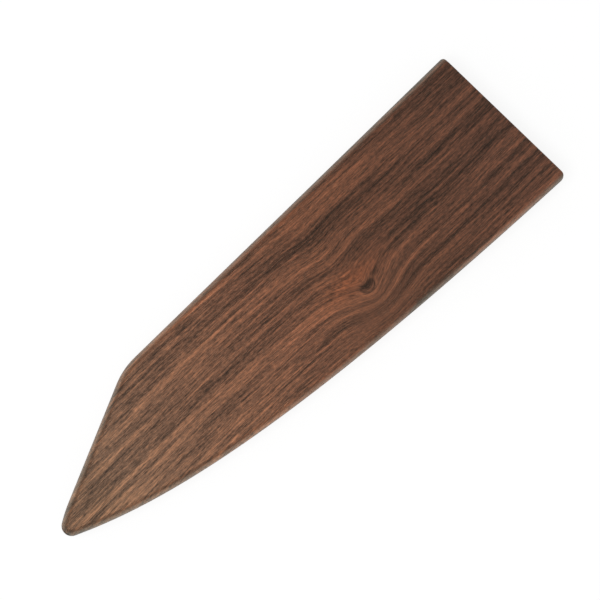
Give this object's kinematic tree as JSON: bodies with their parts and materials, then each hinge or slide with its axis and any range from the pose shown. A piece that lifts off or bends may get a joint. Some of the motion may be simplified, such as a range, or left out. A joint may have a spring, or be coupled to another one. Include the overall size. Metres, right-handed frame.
{
  "type": "knife blade guard",
  "caption": "Flat wooden blade guard with an angled front and a curved belly, felt lined and held on the blade by hidden disc magnets.",
  "frame": {"origin": "middle of the overall box's underside, on the rear face that the guard lies on", "axes": "+X out of the mouth, along the straight spine edge; +Y across the guard to the spine edge; +Z out of the front face"},
  "size_m": [0.225, 0.0632, 0.016],
  "materials": {
    "walnut": "oiled satin",
    "felt": "pressed wool felt",
    "magnet": "bright nickel plating"
  },
  "bodies": {
    "root": {"front_shell": "walnut", "rear_shell": "walnut", "front_lining": "felt", "rear_lining": "felt", "front_magnet_1": "magnet", "front_magnet_2": "magnet", "front_magnet_3": "magnet", "front_magnet_4": "magnet", "front_magnet_5": "magnet", "front_magnet_6": "magnet", "rear_magnet_1": "magnet", "rear_magnet_2": "magnet", "rear_magnet_3": "magnet", "rear_magnet_4": "magnet", "rear_magnet_5": "magnet", "rear_magnet_6": "magnet"}
  },
  "joints": []
}
